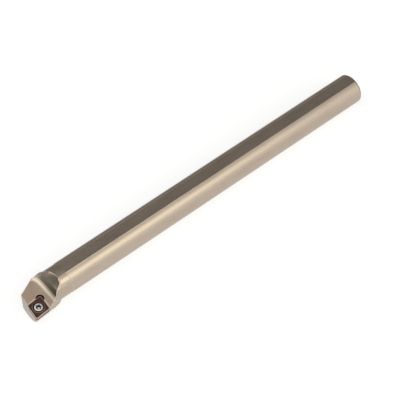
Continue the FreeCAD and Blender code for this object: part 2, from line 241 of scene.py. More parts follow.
paper, shader = new_material("white_paper")
camera_ray = shader.node("ShaderNodeLightPath", None, None, "Is Camera Ray")
glossy_ray = shader.node("ShaderNodeLightPath", None, None, "Is Glossy Ray")
place = object_coordinates(shader)
across = shader.node("ShaderNodeSeparateXYZ", None, {0: place}, 1)
near_side = mask(shader, across, BEHIND_BAR, BESIDE_BAR)
away = shader.node("ShaderNodeVectorMath", {"operation": "LENGTH"}, {0: place}, "Value")
far = mask(shader, away, FAR_START, FAR_END)
# Reflections see the paper behind the bar dimmed, as painted shade.
strength = (camera_ray * (NEAR_GLOW - far * (NEAR_GLOW - FAR_GLOW))
            + glossy_ray * (near_side * (NEAR_REFLECTION - SHADED_REFLECTION) + SHADED_REFLECTION))
share = camera_ray * (far * (FAR_SHARE - NEAR_SHARE) + NEAR_SHARE) + glossy_ray * REFLECTED_SHARE
lit = shader.node("ShaderNodeBsdfDiffuse", None, {"Color": PAPER})
glow = shader.node("ShaderNodeEmission", None, {"Color": WHITE, "Strength": strength})
shader.finish("ShaderNodeOutputMaterial",
              shader.node("ShaderNodeMixShader", None, {0: share, 1: lit, 2: glow}))
floor_mesh.materials.append(paper)
print("paper:", len(paper.node_tree.nodes), "nodes")

# %% [markdown]
# ## The room
# Metal shows what stands round it more than it shows its own colour. A dim room that brightens
# towards the cutting side makes the flats dark and the round side pale. Camera rays see plain white
# instead, so the background doesn't give the room away.

# %% World
ROOM_DIM, ROOM_BRIGHT = 0.22, 0.82
BRIGHTENS_FROM, BRIGHTENS_TO = -0.3, 0.8

world = bpy.data.worlds.new("studio")
bpy.context.scene.world = world
world.use_nodes = True
world.node_tree.nodes.clear()
sky = Shader(world.node_tree)
direction = sky.node("ShaderNodeTexCoord", None, None, "Generated")
side = sky.node("ShaderNodeSeparateXYZ", None, {0: direction}, 1)
level = ROOM_DIM + mask(sky, side, BRIGHTENS_FROM, BRIGHTENS_TO) * (ROOM_BRIGHT - ROOM_DIM)
seen = sky.node("ShaderNodeLightPath", None, None, "Is Camera Ray")
strength = level + (1.0 - level) * seen
sky.finish("ShaderNodeOutputWorld",
           sky.node("ShaderNodeBackground", None, {"Color": WHITE, "Strength": strength}))
print("room:", len(world.node_tree.nodes), "nodes, from", ROOM_DIM, "to", ROOM_BRIGHT)

# %% [markdown]
# ## Lamps
# A softbox is a lamp behind a white cloth, and an area lamp is the same thing. One above lights the
# radius at the foot of the gullet. A long, slightly yellow one beside the bar draws the highlight
# along the shank. Each is given by its radiance, so its size can change without a change of level.

# %% Lamps
def softbox(name, place, aim, width, depth, radiance, colour):
    data = bpy.data.lights.new(name, "AREA")
    data.shape = "RECTANGLE"
    data.size, data.size_y = width, depth
    data.color = colour
    data.energy = radiance * math.pi * width * depth
    lamp = bpy.data.objects.new(name, data)
    bpy.context.scene.collection.objects.link(lamp)
    lamp.location = place
    lamp.rotation_euler = (Vector(aim) - Vector(place)).to_track_quat("-Z", "Y").to_euler()
    return lamp


PALE_YELLOW = (0.97, 1.0, 0.70)
# Each lamp: its name, its place and its aim, its width and depth, its radiance and its colour.
SOFTBOXES = [
    ("overhead", (0.58, -0.18, 1.0), (0.58, -0.179, 0), 0.88, 0.85, 1.10, WHITE),
    ("side", (0.25, 0.78, 0.64), (0.25, 0, 0), 1.35, 0.50, 0.65, PALE_YELLOW),
]
for numbers in SOFTBOXES:
    lamp = softbox(*numbers)
    print(lamp.name, "lamp:", round(lamp.data.energy, 2), "W")

# %% [markdown]
# ## Finish of the bar: nickel-plated steel
# The bar is hardened steel with a thin champagne-coloured nickel plating. The plating follows what
# lies under it: fine rings where the shank was ground, broad cutter marks on the milled flats, and
# a soft grain in the gullet. Pictures of steel would show seams and stretch on the curved head, so
# one function makes all of these from noise, and its numbers say how the grain runs. A noise that
# is squeezed along one axis gives lines.
# On the real bar the gullet looks darker towards the cutting side, where its wall turns away from the
# light. A finish can have that shade painted into its colour along Y, by this share at the most.

# %% Plated steel
CLOUD_MARKS, SPECKLE_MARKS = (0.05, 0.16, 0.16), (5.0, 5.0, 5.0)
CLOUD_SHARE, LINE_SHARE, SPECKLE_SHARE = 0.45, 0.35, 0.20
DARK_TONE, LIGHT_TONE = 0.32, 0.68
LINE_RELIEF, SPECKLE_RELIEF, RELIEF_STRENGTH = 0.7, 0.3, 0.6
LINE_ROUGHNESS, CLOUD_ROUGHNESS = 0.16, 0.12
SHADE_FROM, SHADE_TO = -6.0, 9.0


def plated_steel(name, light, dark, roughness, line_marks, line_height, painted_shade=0.0):
    material, shader = new_material(name)
    lines = noise(shader, line_marks, 4.0, 0.65)
    clouds = noise(shader, CLOUD_MARKS, 2.0)
    speckle = noise(shader, SPECKLE_MARKS, 2.0, 0.7)
    tone = clouds * CLOUD_SHARE + lines * LINE_SHARE + speckle * SPECKLE_SHARE
    colour = mix_colours(shader, mask(shader, tone, DARK_TONE, LIGHT_TONE), dark, light)
    # Painted shade: the colour darkens along Y towards the cutting side.
    if painted_shade:
        millimetres = object_coordinates(shader, (1.0, 1.0, 1.0))
        along_y = shader.node("ShaderNodeSeparateXYZ", None, {0: millimetres}, 1)
        shaded_dark = tuple(part * (1.0 - painted_shade) for part in dark)
        colour = mix_colours(shader, mask(shader, along_y, SHADE_FROM, SHADE_TO), colour, shaded_dark)
    bump = shader.node("ShaderNodeBump", None,
                       {"Strength": RELIEF_STRENGTH, "Distance": line_height * MM,
                        "Height": lines * LINE_RELIEF + speckle * SPECKLE_RELIEF})
    rough = roughness + (lines - 0.5) * LINE_ROUGHNESS + (clouds - 0.5) * CLOUD_ROUGHNESS
    shader.finish("ShaderNodeOutputMaterial",
                  shader.node("ShaderNodeBsdfPrincipled", None,
                              {"Base Color": colour, "Metallic": 1.0, "Roughness": rough,
                               "Normal": bump}))
    return material


# Each finish: its lighter and darker colour, its roughness, how many lines a millimetre it has
# along X, Y and Z, how high they stand in millimetres, and how much painted shade darkens it.
PLATING = {
    "ground_round": ((0.72, 0.60, 0.48), (0.65, 0.53, 0.425), 0.30, (9.0, 0.25, 0.25), 0.004),
    "milled_flat": ((0.61, 0.495, 0.39), (0.53, 0.43, 0.34), 0.30, (4.0, 0.12, 0.12), 0.006),
    "milled_rake": ((0.83, 0.63, 0.48), (0.73, 0.55, 0.415), 0.33, (2.0, 2.0, 2.0), 0.006),
    # The gullet's wall gets painted shade towards the cutting side.
    "milled_gullet": ((0.70, 0.585, 0.46), (0.62, 0.51, 0.40), 0.22, (0.6, 3.0, 0.6), 0.006, 0.5),
    "turned_neck": ((0.70, 0.585, 0.46), (0.62, 0.51, 0.40), 0.22, (0.6, 3.0, 0.6), 0.006),
    "turned_end": ((0.74, 0.67, 0.58), (0.67, 0.60, 0.52), 0.32, (0.5, 4.0, 4.0), 0.005),
    # The seat and its relief under the insert get painted shade, nearly black.
    "seat_painted_shade": ((0.16, 0.12, 0.09), (0.06, 0.045, 0.035), 0.35, (3.0, 3.0, 3.0), 0.006),
    # The rear chamfer gets painted shade.
    "chamfer_painted_shade": ((0.20, 0.165, 0.13), (0.14, 0.115, 0.09), 0.38, (0.5, 4.0, 4.0), 0.005),
    # The radius at the foot of the gullet is painted pale as a highlight, with painted shade towards
    # the cutting side.
    "gullet_floor_highlight": ((0.98, 0.86, 0.70), (0.90, 0.78, 0.62), 0.50, (0.6, 3.0, 0.6), 0.006, 0.3),
    # Rounded edges, the seat's rims and the step behind the neck get a painted highlight.
    "edge_highlight": ((0.93, 0.82, 0.67), (0.84, 0.73, 0.58), 0.42, (3.0, 3.0, 3.0), 0.004),
}
finishes = {name: plated_steel(name, *numbers) for name, numbers in PLATING.items()}
print("finishes of the bar:", sorted(finishes))

# %% [markdown]
# ## The seat's own frame
# The insert and its screw sit askew in the head: the seat is tipped by the rake angle, and the
# insert's long diagonal points to the cutting corner. Both are easier to make upright, with the
# middle of the insert's top face as the origin, and are then carried to the seat by one matrix.

# %% Seat frame
RAKE_ANGLE = math.radians(9.5)
RAKE_NORMAL = Vector((0.0, math.sin(RAKE_ANGLE), math.cos(RAKE_ANGLE)))
INSERT_CIRCLE, NOSE_RADIUS, CORNER_ANGLE = 9.525, 0.8, 80.0
OVERALL_LENGTH, TIP_OFFSET, LEAD_ANGLE = 254.0, 12.7, 5.0

half_acute = math.radians(CORNER_ANGLE / 2)
half_obtuse = math.radians(90 - CORNER_ANGLE / 2)
diagonal = math.radians(90 - LEAD_ANGLE - CORNER_ANGLE / 2)
nose_to_middle = (INSERT_CIRCLE / 2 - NOSE_RADIUS) / math.sin(half_acute)
middle = Vector((OVERALL_LENGTH - NOSE_RADIUS - nose_to_middle * math.cos(diagonal),
                 -NOSE_RADIUS - nose_to_middle * math.sin(diagonal), 0.0))
seat = (Matrix.Translation((0.0, TIP_OFFSET * MM, 0.0)) @ Matrix.Rotation(-RAKE_ANGLE, 4, "X")
        @ Matrix.Translation(middle * MM) @ Matrix.Rotation(diagonal, 4, "Z"))
print("middle of the insert's top, mm:", [round(value / MM, 2) for value in seat.translation])

# %% [markdown]
# ## The bar
# The bar is one piece of steel, turned, milled and ground. Its shape is already exact in the
# construction, so a copy of that mesh is the best start. What the copy lacks is a softened edge:
# no edge of a real bar is perfectly sharp, and the thin light line along each edge is what makes
# metal look solid. So the copy is merged, its flat faces are joined, each face gets its finish from
# how it was machined, some finishes with painted shade and some with a painted highlight, and a
# Bevel modifier rounds the sharp edges.
# How a face was machined is read from where it lies and which way it points. The names below are
# places along the bar and heights over the rake face, in millimetres, and limits for the parts of a
# face's normal, where 1 points exactly that way.

# %% Where each finish begins and ends
FINISH_NAMES = list(finishes)
SIDE_NORMALS = [Vector((math.cos(angle), math.sin(angle)))
                for angle in (math.pi / 2 - half_acute, math.pi / 2 + half_acute,
                              -math.pi / 2 - half_acute, -math.pi / 2 + half_acute)]
SEAT_MARGIN, EDGE_BREAK_TOP, EDGE_BREAK_FOOT = 2.2, -0.05, -0.36
FLAT_HEIGHT, FLAT_RUN_OUT = 8.75, (215.0, 233.0)
NECK_STEP = (225.9, 226.6)
HEAD_START, HEAD_SHIFT, ROUND_RADIUS = 225.0, 1.6, 8.6
REAR_CHAMFER = 1.1
FLOOR_TURN, FLOOR_RISE = (1.5, 52.0), (-0.1, 1.7)
WALL_END, WALL_RISE, WALL_TILT = 241.0, 0.5, (0.4, 0.97)
EXACTLY, ON_THE_RAKE, ALONG_THE_BAR, OUTWARDS, UPWARDS = 0.9995, 0.9998, 0.97, 0.985, 0.8
SAME = 0.02


def within(value, limits):
    return limits[0] < value < limits[1]


def in_seat(face, level):
    """True for faces of the seat and its relief that lie this far under the rake face."""
    local = seat.inverted() @ face.calc_center_median() / MM
    facing = seat.to_3x3().inverted() @ face.normal
    across = max(local.xy.dot(side) for side in SIDE_NORMALS) - INSERT_CIRCLE / 2
    faces_insert = facing.z > 0.9 or facing.xy.dot(local.xy) < 0
    return local.z < level and across < SEAT_MARGIN and faces_insert


def is_ground(centre, normal):
    """True for a face of the shank's or the head's round, whose normal points off its axis."""
    off_axis = Vector((0.0, centre.y - (0.0 if centre.x < HEAD_START else HEAD_SHIFT), centre.z))
    sideways = Vector((0.0, normal.y, normal.z)).normalized()
    return (off_axis.length > ROUND_RADIUS and off_axis.normalized().dot(sideways) > OUTWARDS
            and abs(normal.x) < 0.5)


def machined_by(face):
    """Names the finish of one face."""
    # Faces of the seat and relief under the insert get painted shade.
    if in_seat(face, EDGE_BREAK_FOOT):
        return "seat_painted_shade"
    # The rounded rims of the seat get a painted highlight.
    if in_seat(face, EDGE_BREAK_TOP):
        return "edge_highlight"
    normal = face.normal
    centre = face.calc_center_median() / MM
    # The fine step behind the neck gets a painted highlight.
    if within(centre.x, NECK_STEP) and normal.x > 0.1:
        return "edge_highlight"
    if abs(normal.z) > EXACTLY and abs(abs(centre.z) - FLAT_HEIGHT) < SAME:
        return "milled_flat"
    if normal.z > UPWARDS and within(centre.x, FLAT_RUN_OUT) and abs(normal.y) < SAME:
        return "milled_flat"
    if normal.z > UPWARDS and normal.dot(RAKE_NORMAL) > ON_THE_RAKE:
        return "milled_rake"
    if abs(normal.x) > ALONG_THE_BAR:
        return "turned_end"
    # The rear chamfer gets painted shade.
    if centre.x < REAR_CHAMFER and normal.x < -0.3:
        return "chamfer_painted_shade"
    turned = math.degrees(normal.angle(RAKE_NORMAL))
    risen = (seat.inverted() @ face.calc_center_median()).z / MM
    # The radius at the foot of the gullet gets a pale finish, a painted highlight.
    if within(turned, FLOOR_TURN) and within(risen, FLOOR_RISE) and normal.x > SAME:
        return "gullet_floor_highlight"
    if (risen > WALL_RISE and centre.x < WALL_END and within(normal.x, WALL_TILT)
            and normal.z > 0.2):
        return "milled_gullet"
    return "ground_round" if is_ground(centre, normal) else "turned_neck"


print("rake face leans", round(math.degrees(RAKE_NORMAL.angle((0.0, 0.0, 1.0))), 2), "degrees")

# %% [markdown]
# ## One skin of joined faces
# The construction's mesh is loose triangles. Merging the doubles makes it one skin, and a limited
# dissolve joins the triangles of each flat face, so the only edges left are real edges and the
# lines along the round faces. Edges shorter than about half the rounding would trip it, so they are
# merged too.

# %% Joining the bar's faces
DOUBLES = 0.01 * MM
FLAT_WITHIN = math.radians(0.05)
SHORTEST_EDGE = 0.104 * MM

work = bmesh.new()
work.from_mesh(frame["nodes"]["bar"].data)
bmesh.ops.remove_doubles(work, verts=work.verts, dist=DOUBLES)
bmesh.ops.dissolve_limit(work, angle_limit=FLAT_WITHIN, use_dissolve_boundaries=False,
                         verts=work.verts, edges=work.edges)
crowded = {vert for edge in work.edges if edge.calc_length() < SHORTEST_EDGE for vert in edge.verts}
bmesh.ops.remove_doubles(work, verts=list(crowded), dist=SHORTEST_EDGE)
for face in work.faces:
    face.material_index = FINISH_NAMES.index(machined_by(face))
    face.smooth = True
print("bar joined:", len(work.faces), "faces,", len(work.edges), "edges")

# %% [markdown]
# ## Which edges are rounded
# Sharp edges get a bevel weight of 1. Two kinds stay as they are: the rims of the fine step behind
# the neck, which is lower than the rounding is wide, and the blunter rims of strips that are too
# narrow to be rounded on both sides.

# %% Marking the sharp edges
SHARP, VERY_SHARP = math.radians(24), math.radians(60)
NARROW = 0.25 * MM


def beside_sliver(edge):
    """True for the blunter edges of a strip too narrow to be rounded on both of its sides."""
    widths = [2.0 * face.calc_area() / sum(side.calc_length() for side in face.edges)
              for face in edge.link_faces]
    return min(widths) < NARROW and edge.calc_face_angle(0.0) < VERY_SHARP


weight = work.edges.layers.float.new("bevel_weight_edge")
for edge in work.edges:
    edge.smooth = edge.calc_face_angle(0.0) < SHARP
    at_step = all(within(vert.co.x / MM, NECK_STEP) for vert in edge.verts)
    edge[weight] = 0.0 if edge.smooth or at_step or beside_sliver(edge) else 1.0
print("edges to round:", sum(1 for edge in work.edges if edge[weight] > 0.0))

# %% [markdown]
# ## From modifiers to a plain mesh
# The bevel gets its own finish, a little brighter than the rest, as a painted highlight on the
# edges. A Triangulate modifier then splits the large joined faces evenly. Both modifiers are applied
# by taking the evaluated mesh, so that nothing live is left on the piece.

# %% Rounding the bar's edges
ROUNDING = 0.2 * MM


def new_piece(name, mesh):
    piece = bpy.data.objects.new(name, mesh)
    bpy.context.scene.collection.objects.link(piece)
    return piece


def as_mesh(piece):
    """Applies the modifiers of a piece by taking its evaluated mesh."""
    bpy.context.view_layer.update()
    evaluated = piece.evaluated_get(bpy.context.evaluated_depsgraph_get())
    mesh = bpy.data.meshes.new_from_object(evaluated)
    piece.modifiers.clear()
    piece.data = mesh
    mesh.name = piece.name
    return mesh


bar_mesh = bpy.data.meshes.new("plated_bar")
work.to_mesh(bar_mesh)
work.free()
for name in FINISH_NAMES:
    bar_mesh.materials.append(finishes[name])
bar = new_piece("plated_bar", bar_mesh)
bevel = bar.modifiers.new("edge_rounding", "BEVEL")
bevel.width = ROUNDING
bevel.segments = 2
bevel.limit_method = "WEIGHT"
bevel.material = FINISH_NAMES.index("edge_highlight")
bevel.use_clamp_overlap = False
bevel.harden_normals = True
halving = bar.modifiers.new("even_triangles", "TRIANGULATE")
halving.ngon_method = "BEAUTY"
halving.min_vertices = 5
halving.keep_custom_normals = True
bar_mesh = as_mesh(bar)
print("bar rounded:", len(bar_mesh.polygons), "faces")

# %% [markdown]
# ## Cleaning up after the rounding
# Where edges meet at a sharp point the rounding overshoots and leaves faces of no width. Such faces
# are merged away, and points that left the steel go back to it. The smooth shading of the flats
# hangs on the normals that the bevel stored, and a merge would lose them, so each corner carries
# its normal through the clean-up in a layer of its own.

# %% Cleaning up the bar
PINCHED, POINT_SIZE = 0.002 * MM, 0.001 * MM
OVERSHOOT = 0.1 * MM

work = bmesh.new()
work.from_mesh(frame["nodes"]["bar"].data)
steel = BVHTree.FromBMesh(work)
work.free()
work = bmesh.new()
work.from_mesh(bar_mesh)
kept_normal = work.loops.layers.float_vector.new("kept_normal")
for face, polygon in zip(work.faces, bar_mesh.polygons):
    for loop, corner in zip(face.loops, polygon.loop_indices):
        loop[kept_normal] = bar_mesh.corner_normals[corner].vector
bmesh.ops.remove_doubles(work, verts=work.verts, dist=PINCHED)
bmesh.ops.dissolve_degenerate(work, dist=POINT_SIZE, edges=work.edges)
overshot = [vert for vert in work.verts if steel.find_nearest(vert.co)[3] > OVERSHOOT]
for vert in overshot:
    vert.co = steel.find_nearest(vert.co)[0]
print("bar: points put back on the steel:", len(overshot))

# %% [markdown]
# ## Two edges that aren't bright
# The rounding gave every edge the painted highlight. On the real bar the rear chamfer looks dark, and
# so does the upper rim of the gullet's wall, where the cutter left the flat. Their faces are found by
# place and get the finish of what lies beside them: painted shade on the rear chamfer, and the
# wall's own finish on the upper rim.

# %% Finishes of the rear chamfer and the upper rim
UPPER_RIM, UPPER_RIM_HEIGHT = (228.0, 245.0), 8.2

for face in work.faces:
    if face.material_index == FINISH_NAMES.index("edge_highlight"):
        centre = face.calc_center_median() / MM
        # Rounded faces at the rear end get the rear chamfer's painted shade.
        if centre.x < 2 * REAR_CHAMFER:
            face.material_index = FINISH_NAMES.index("chamfer_painted_shade")
        elif within(centre.x, UPPER_RIM) and centre.z > UPPER_RIM_HEIGHT:
            face.material_index = FINISH_NAMES.index("milled_gullet")
work.to_mesh(bar_mesh)
work.free()
corner_normals = [tuple(corner.vector) for corner in bar_mesh.attributes["kept_normal"].data]
bar_mesh.normals_split_custom_set(corner_normals)
bar_mesh.attributes.remove(bar_mesh.attributes["kept_normal"])
counts = {name: sum(1 for face in bar_mesh.polygons if face.material_index == number)
          for number, name in enumerate(FINISH_NAMES)}
print("bar:", len(bar_mesh.polygons), "faces", counts)

# %% [markdown]
# ## The insert
# An indexable insert is pressed from carbide powder in a die, sintered and coated. Its outline is a
# diamond with rounded corners, its sides lean in by the clearance angle, and its top has a pressed
# chip breaker: a flat land along the cutting edge, a trough behind it, and a raised island round the
# hole. It could be cut from a block with booleans, but every one of these forms runs round the hole,
# so rings with the same number of points are simpler: the insert is a loft through a list of rings.

# %% Outlines of the insert
ARC_STEPS, SIDE_STEPS = 10, 8
SMALLEST_RADIUS = 0.05


def diamond(inset):
    """Points round the diamond, moved inwards by the inset, in millimetres."""
    radius = max(NOSE_RADIUS - inset, SMALLEST_RADIUS)
    gap = INSERT_CIRCLE / 2 - inset - radius
    acute, obtuse = (half_acute, 180.0 - CORNER_ANGLE), (half_obtuse, CORNER_ANGLE)
    arcs = []
    for heading, (half, span) in ((0.0, acute), (90.0, obtuse), (180.0, acute), (270.0, obtuse)):
        away = gap / math.sin(half)
        centre = Vector((away * math.cos(math.radians(heading)),
                         away * math.sin(math.radians(heading))))
        angles = [math.radians(heading - span / 2 + span * step / ARC_STEPS)
                  for step in range(ARC_STEPS + 1)]
        arcs.append([centre + radius * Vector((math.cos(angle), math.sin(angle)))
                     for angle in angles])
    points = []
    for arc, following in zip(arcs, arcs[1:] + arcs[:1]):
        points += arc
        points += [arc[-1].lerp(following[0], step / SIDE_STEPS) for step in range(1, SIDE_STEPS)]
    return points


headings = [math.atan2(point.y, point.x) for point in diamond(0.0)]


def circle(radius):
    """As many points as the diamond has, each in the same direction."""
    return [Vector((radius * math.cos(angle), radius * math.sin(angle))) for angle in headings]


def between(first, second, share):
    return [a.lerp(b, share) for a, b in zip(first, second)]


print("outline of the insert:", len(headings), "points")

# %% [markdown]
# ## The rings
# The list walks from the bore along the bottom, up the flank, over the cutting edge, through the
# trough, up to the island and down the countersink to the bore again. The cutting edge is honed, so
# it has two rings of its own. Each ring also says how worn and how lit the coating is painted there:
# 1 is rubbed bright with a painted highlight, 0 is plain, and below 0 is dark with dirt and painted
# shade.

# %% Insert rings
THICKNESS, CLEARANCE = 3.97, math.tan(math.radians(7))
BORE, SINK, ISLAND, LAND, BREAKER_DEPTH = 2.2, 3.0, 3.55, 0.3, 0.25
HALF_SINK_ANGLE = math.radians(30)

sink_depth = (SINK - BORE) / math.tan(HALF_SINK_ANGLE)
inner_trough = diamond(LAND + BREAKER_DEPTH)
island_foot = circle(ISLAND + BREAKER_DEPTH * 0.9)
# Each ring: its points, its height, and its wear and painted light, above 0 rubbed and highlighted,
# below 0 dirty and shaded.
rings = [
    (circle(BORE), -THICKNESS, 0.3),
    (diamond(THICKNESS * CLEARANCE + 0.08), -THICKNESS, 0.3),
    (diamond(THICKNESS * CLEARANCE), -THICKNESS + 0.08, 0.8),
    (diamond((THICKNESS - 0.3) * CLEARANCE), -THICKNESS + 0.3, 0.55),
    (diamond(1.1 * CLEARANCE), -1.1, 0.65),
    (diamond(0.6 * CLEARANCE), -0.6, 1.1),
    (diamond(0.12 * CLEARANCE), -0.12, 1.0),
    (diamond(0.04 * CLEARANCE), -0.04, 1.0),
    (diamond(0.02), -0.01, 1.0),
    (diamond(0.17), 0.0, 0.8),
    (diamond(LAND - 0.05), 0.0, 0.5),
    (diamond(LAND + 0.02), -0.03, 0.3),
    (diamond(LAND + 0.16), -0.17, -0.25),
    (inner_trough, -BREAKER_DEPTH + 0.03, -0.4),
    (between(inner_trough, island_foot, 0.35), -BREAKER_DEPTH, 0.1),
    (between(inner_trough, island_foot, 0.75), -BREAKER_DEPTH, 0.1),
    (island_foot, -BREAKER_DEPTH + 0.03, -0.3),
    (circle(ISLAND + 0.08), -0.07, 0.1),
    (circle(ISLAND), -0.01, 0.8),
    (circle(ISLAND - 0.10), 0.0, 0.6),
    (circle(SINK + 0.12), 0.0, 0.2),
    (circle(SINK), -0.04, -0.2),
    (circle(SINK - 0.06), -0.14, -0.6),
    (circle(BORE + 0.05), -sink_depth + 0.08, -1.0),
    (circle(BORE), -sink_depth - 0.05, -1.0),
]
print("insert:", len(rings), "rings, countersink", round(sink_depth, 2), "mm deep")

# %% [markdown]
# ## Joining the rings
# Quads join each ring to the next and the last to the first, so the skin closes through the bore.
# The wear and painted light of each ring is stored on its points as an attribute, which the material
# reads later.

# %% Insert mesh
INSERT_SHARP = math.radians(38)

work = bmesh.new()
wear_and_light = work.verts.layers.float.new("wear_and_light")
rows = []
for points, height, wear_light_value in rings:
    row = [work.verts.new(seat @ (Vector((point.x, point.y, height)) * MM)) for point in points]
    for vert in row:
        vert[wear_and_light] = wear_light_value
    rows.append(row)
for row, following in zip(rows, rows[1:] + rows[:1]):
    for number in range(len(row)):
        after = (number + 1) % len(row)
        work.faces.new((row[number], row[after], following[after], following[number]))
bmesh.ops.recalc_face_normals(work, faces=work.faces)
insert_mesh = bpy.data.meshes.new("coated_insert")
work.to_mesh(insert_mesh)
work.free()
insert_mesh.shade_smooth()
insert_mesh.set_sharp_from_angle(angle=INSERT_SHARP)
insert = new_piece("coated_insert", insert_mesh)
print("insert:", len(insert_mesh.polygons), "faces")

# %% [markdown]
# ## Finish of the insert
# The coating is a few thousandths of a millimetre thick, and its colour comes from its thickness, so
# it drifts from red-brown to olive-brown across one insert. On the edges and rims it is thinner and
# lighter, and a painted highlight is added there and on the flank's upper band. Dirt and painted
# shade darken the trough, the island's foot and the countersink. Painting that by place would need a
# mask for each form, so the material reads the wear and painted light that the rings stored.

# %% Coated carbide
RED_BROWN, OLIVE_BROWN = (0.185, 0.072, 0.050), (0.135, 0.078, 0.045)
GRAIN_BROWN, DIRT_AND_SHADE_BLACK = (0.060, 0.028, 0.020), (0.012, 0.009, 0.008)
RUBBED_HIGHLIGHT = (0.84, 0.70, 0.58)
DRIFT_MARKS, GRAIN_MARKS = (0.22, 0.22, 0.22), (9.0, 9.0, 9.0)
DIRT_AND_SHADE_RANGE, HIGHLIGHT_RANGE = (-0.1, -0.5), (0.45, 1.0)

coated, shader = new_material("coated_carbide")
drift = noise(shader, DRIFT_MARKS, 1.0)
grain = noise(shader, GRAIN_MARKS, 3.0)
wear_light_value = shader.node("ShaderNodeAttribute", {"attribute_name": "wear_and_light"}, None, "Fac")
brown = mix_colours(shader, mask(shader, drift, 0.4, 0.6), RED_BROWN, OLIVE_BROWN)
brown = mix_colours(shader, grain * 0.5, brown, GRAIN_BROWN)
# Dirt and painted shade darken the trough, the island's foot and the countersink.
brown = mix_colours(shader, mask(shader, wear_light_value, *DIRT_AND_SHADE_RANGE), brown, DIRT_AND_SHADE_BLACK)
# Edges, rims and the flank's upper band get a painted highlight where the coating is also rubbed.
highlight_share = mask(shader, wear_light_value + (grain - 0.5) * 0.5, *HIGHLIGHT_RANGE)
colour = mix_colours(shader, highlight_share, brown, RUBBED_HIGHLIGHT)
bump = shader.node("ShaderNodeBump", None,
                   {"Strength": 0.5, "Distance": 0.006 * MM, "Height": grain})
shader.finish("ShaderNodeOutputMaterial",
              shader.node("ShaderNodeBsdfPrincipled", None,
                          {"Base Color": colour, "Metallic": 0.85,
                           "Roughness": 0.30 + grain * 0.16, "Normal": bump}))
insert_mesh.materials.append(coated)
print("coating:", len(coated.node_tree.nodes), "nodes")

# %% [markdown]
# ## The clamp screw
# A screw is a turned shape with two additions that follow a rule: a thread, which is a wave that
# climbs as it goes round, and a six-lobe recess, whose radius swells and shrinks six times in one
# turn. A Screw modifier could turn the profile, but the recess would still have to be cut. Geometry
# Nodes do both at once: a flat grid is rolled into a tube, its columns give the angle and its rows
# walk along the profile. The tree starts with a named input for each size, so changing an input
# changes the screw.

# %% Inputs of the screw tree
SCREW_SIZES = {"Head radius": 2.64, "Stem radius": 1.75, "Length": 8.9, "Rim height": 0.6,
               "Rim chamfer": 0.25, "End chamfer": 0.4, "Recess radius": 1.5, "Lobe height": 0.2,
               "Recess depth": 1.5, "Thread pitch": 0.6, "Thread depth": 0.3}

tree = bpy.data.node_groups.new("turned_screw", "GeometryNodeTree")
for name, number in SCREW_SIZES.items():
    socket = tree.interface.new_socket(name=name, in_out="INPUT", socket_type="NodeSocketFloat")
    socket.default_value = number
tree.interface.new_socket(name="Material", in_out="INPUT", socket_type="NodeSocketMaterial")
tree.interface.new_socket(name="Geometry", in_out="OUTPUT", socket_type="NodeSocketGeometry")
given = tree.nodes.new("NodeGroupInput")
maker = Shader(tree)
size = {name: Value(tree, given.outputs[name]) for name in SCREW_SIZES}
print("screw tree:", len(size), "sizes in millimetres")

# %% [markdown]
# ## The screw's profile
# The profile is a list of stations from the tip up the stem, out along the cone, over the rim and
# down into the recess. Each says how far out and how high it is, and how much of the lobes and of
# the thread it has, so both fade in and out between stations.

# %% Screw profile
EDGE = 0.05
THREAD_ROWS = 60

cone = (size["Head radius"] - size["Stem radius"]) * (1 / math.tan(HALF_SINK_ANGLE))
tip = size["Length"] * -1.0
rim = size["Rim height"] * -1.0
chamfer = size["Rim chamfer"] * -1.0
recess = size["Recess depth"] * -1.0
# Each station: rows to the next one, radius, height under the top, lobes, thread.
stations = [
    (1, 0.0, tip, 0.0, 0.0),
    (1, size["Stem radius"] - size["End chamfer"] - size["Thread depth"], tip, 0.0, 0.0),
    (4, size["Stem radius"] - size["End chamfer"], tip + 0.02, 0.0, 0.0),
    (THREAD_ROWS, size["Stem radius"], tip + size["End chamfer"], 0.0, 1.0),
    (4, size["Stem radius"], rim - cone - 0.9, 0.0, 1.0),
    (2, size["Stem radius"] - 0.1, rim - cone - 0.45, 0.0, 0.0),
    (1, size["Stem radius"], rim - cone, 0.0, 0.0),
    (1, size["Head radius"] - EDGE, rim - EDGE, 0.0, 0.0),
    (1, size["Head radius"], rim + EDGE, 0.0, 0.0),
    (1, size["Head radius"], chamfer - EDGE, 0.0, 0.0),
    (1, size["Head radius"] - EDGE, chamfer, 0.0, 0.0),
    (1, size["Head radius"] - size["Rim chamfer"], -0.10, 0.0, 0.0),
    (1, size["Head radius"] - size["Rim chamfer"] - 0.25, -0.03, 0.0, 0.0),
    (1, size["Recess radius"] + 0.12, 0.0, 0.7, 0.0),
    (1, size["Recess radius"] + 0.02, -0.05, 1.0, 0.0),
    (1, size["Recess radius"], -0.15, 1.0, 0.0),
    (1, size["Recess radius"] - 0.02, recess + 0.1, 1.0, 0.0),
    (1, size["Recess radius"] - 0.1, recess, 0.9, 0.0),
    (1, 0.75, recess - 0.05, 0.0, 0.0),
    (0, 0.0, recess - 0.35, 0.0, 0.0),
]
row_count = 1 + sum(station[0] for station in stations)
print("screw profile:", len(stations), "stations,", row_count, "rows")

# %% [markdown]
# ## Walking along the profile
# The grid's own coordinates say which column and row a point is in. A chain of Map Range nodes, one
# for each stretch between stations, turns the row into a radius, a height or a share.

# %% Rows and columns
TURN_STEPS = 72
RADIUS, HEIGHT, LOBES, THREAD = 1, 2, 3, 4

grid = maker.node("GeometryNodeMeshGrid", None,
                  {"Size X": 1.0, "Size Y": float(row_count - 1),
                   "Vertices X": TURN_STEPS + 1, "Vertices Y": row_count})
flat = maker.node("GeometryNodeInputPosition")
turn_share = maker.node("ShaderNodeSeparateXYZ", None, {0: flat}, 0) + 0.5
row = maker.node("ShaderNodeSeparateXYZ", None, {0: flat}, 1) + (row_count - 1) / 2


